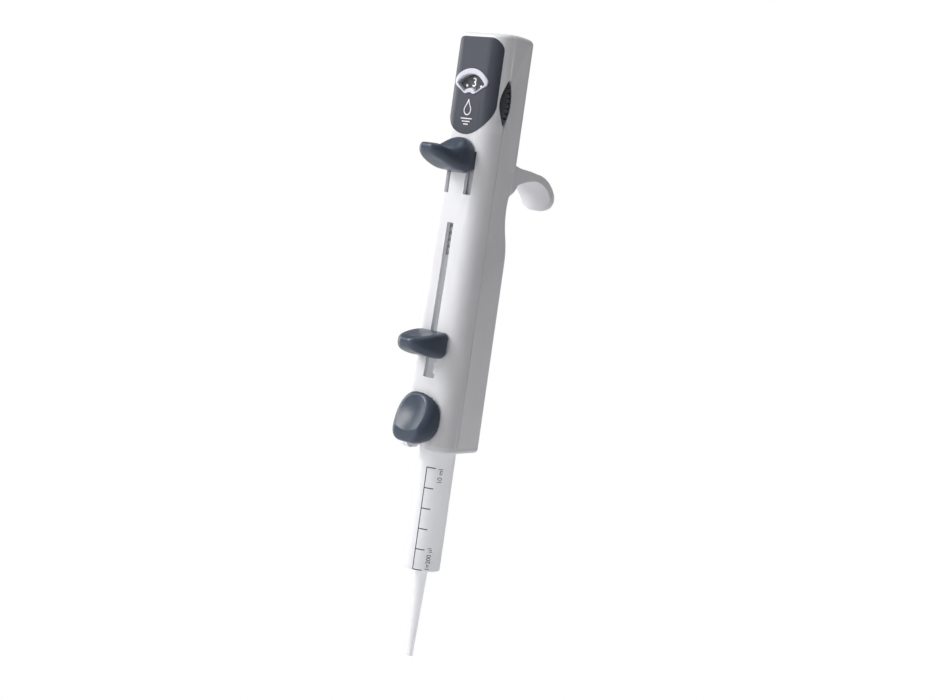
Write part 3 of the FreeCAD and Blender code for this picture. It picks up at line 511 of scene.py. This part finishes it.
def barrel_print():
    """The volume scale: a line with six ticks, and its volumes, read with the tip upright."""
    radius = 8.81 * MM
    foot, head, count = 44.0 * MM, 94.0 * MM, 6
    scale_turn = math.radians(16.5)
    pieces = [wrap_on_barrel(stripe(0.46 * MM, head - foot + 0.4 * MM, (0, 0)), scale_turn,
                             (foot + head) / 2, radius)]
    for tick in range(count):
        level = foot + (head - foot) * tick / (count - 1)
        pieces.append(wrap_on_barrel(stripe(4.6 * MM, 0.48 * MM, (2.3 * MM, 0)), scale_turn,
                                     level, radius))
    for text, level, size in (("10 ml", 90.4 * MM, 3.3 * MM),
                              ("1=200 µl", 49.6 * MM, 3.1 * MM)):
        mesh = glyphs(text, size, 0.015 * MM)
        mesh.transform(Matrix.Rotation(math.radians(90), 4, "Z"))
        mesh.transform(Matrix.Translation((7.2 * MM, 0, 0.015 * MM)))
        pieces.append(wrap_on_barrel(mesh, scale_turn, level, radius))
    joined = bmesh.new()
    for mesh in pieces:
        joined.from_mesh(mesh)
    mesh = bpy.data.meshes.new("barrel_scale")
    joined.to_mesh(mesh)
    joined.free()
    add_mesh("barrel_scale", mesh, INK_BLACK, BODY_OF["tip_barrel"])


barrel_print()


# ---------------------------------------------------------------- stage

BACKDROP = 1.0
FILL = 0.20
MIDDLE = (0.0, 0.0, 0.16)


def seen_directly(tree):
    """1 for rays from the camera and rays that have gone through a clear part, else 0."""
    path = tree.nodes.new("ShaderNodeLightPath")
    either = tree.nodes.new("ShaderNodeMath")
    either.operation = "MAXIMUM"
    tree.links.new(path.outputs["Is Camera Ray"], either.inputs[0])
    tree.links.new(path.outputs["Is Transmission Ray"], either.inputs[1])
    return either.outputs["Value"]


def stage_floor():
    """A pale floor below the tip that curves up into a backdrop."""
    mesh = bpy.data.meshes.new("floor")
    sweep = bmesh.new()
    profile = [(-2.5, 0.0), (1.2, 0.0)]
    profile += [(1.2 + 1.0 * math.sin(step * math.pi / 24), 1.0 - math.cos(step * math.pi / 24))
                for step in range(1, 13)]
    profile.append((2.2, 3.5))
    turn = Matrix.Rotation(math.radians(45), 4, "Z")
    rows = [[sweep.verts.new(turn @ Vector((x, y, z - 0.06))) for x in (-4.0, 4.0)]
            for y, z in profile]
    for first, second in zip(rows, rows[1:]):
        sweep.faces.new((first[0], first[1], second[1], second[0]))
    sweep.to_mesh(mesh)
    sweep.free()
    floor = bpy.data.objects.new("floor", mesh)
    bpy.context.scene.collection.objects.link(floor)
    for face in mesh.polygons:
        face.use_smooth = True
    shader = Shader("floor_pale")
    shader.colour((0.90, 0.90, 0.91)).set(Roughness=0.9)
    glow = shader.tree.nodes.new("ShaderNodeEmission")
    glow.inputs["Strength"].default_value = BACKDROP
    blend = shader.tree.nodes.new("ShaderNodeMixShader")
    shader.link(seen_directly(shader.tree), blend.inputs["Fac"])
    shader.link(shader.surface.outputs["BSDF"], blend.inputs[1])
    shader.link(glow.outputs["Emission"], blend.inputs[2])
    shader.link(blend.outputs["Shader"], shader.output.inputs["Surface"])
    mesh.materials.append(shader.material)


def studio_world():
    """A white surround for what is seen directly or through the clear parts, and a dimmer
    one for what lights the object."""
    world = bpy.data.worlds.new("studio")
    bpy.context.scene.world = world
    world.use_nodes = True
    tree = world.node_tree
    tree.nodes.clear()
    output = tree.nodes.new("ShaderNodeOutputWorld")
    blend = tree.nodes.new("ShaderNodeMixShader")
    tree.links.new(seen_directly(tree), blend.inputs["Fac"])
    for socket, strength in ((1, FILL), (2, BACKDROP)):
        background = tree.nodes.new("ShaderNodeBackground")
        background.inputs["Color"].default_value = (1.0, 1.0, 1.0, 1.0)
        background.inputs["Strength"].default_value = strength
        tree.links.new(background.outputs["Background"], blend.inputs[socket])
    tree.links.new(blend.outputs["Shader"], output.inputs["Surface"])


def area_light(name, place, size, power):
    """A white rectangular light that points at the middle of the pipette."""
    data = bpy.data.lights.new(name, "AREA")
    data.shape = "RECTANGLE"
    data.size, data.size_y = size
    data.energy = power
    light = bpy.data.objects.new(name, data)
    light.location = place
    direction = Vector(MIDDLE) - Vector(place)
    light.rotation_euler = direction.to_track_quat("-Z", "Y").to_euler()
    bpy.context.scene.collection.objects.link(light)


stage_floor()
studio_world()

area_light("key", (-0.65, -0.95, 0.95), (0.7, 0.9), 15.0)
area_light("left", (-1.25, -0.15, 0.15), (0.8, 1.3), 7.0)
area_light("front_fill", (-0.2, -1.2, 0.05), (0.6, 0.9), 1.8)
area_light("top", (-0.1, 0.0, 1.2), (0.6, 0.6), 3.0)
bpy.context.scene.view_settings.view_transform = "Standard"


# ---------------------------------------------------------------- camera

def photo_camera():
    """Looks from the front right, slightly from above, rolled so that the pipette leans."""
    azimuth, elevation, roll = math.radians(45.0), math.radians(4.3), math.radians(8.1)
    distance = 0.96
    right = Vector((math.cos(azimuth), math.sin(azimuth), 0))
    back = Vector((math.sin(azimuth) * math.cos(elevation),
                   -math.cos(azimuth) * math.cos(elevation), math.sin(elevation)))
    up = back.cross(right)
    target = right * 6.7 * MM + Vector((0, 0, 152 * MM))
    data = bpy.data.cameras.new("camera")
    data.sensor_width = 36.0
    data.lens = 76.7
    camera = bpy.data.objects.new("camera", data)
    tilted_up = up * math.cos(roll) - right * math.sin(roll)
    tilted_right = right * math.cos(roll) + up * math.sin(roll)
    turn = Matrix((tilted_right, tilted_up, back)).transposed().to_4x4()
    camera.matrix_world = Matrix.Translation(target + back * distance) @ turn
    bpy.context.scene.collection.objects.link(camera)
    bpy.context.scene.camera = camera


photo_camera()
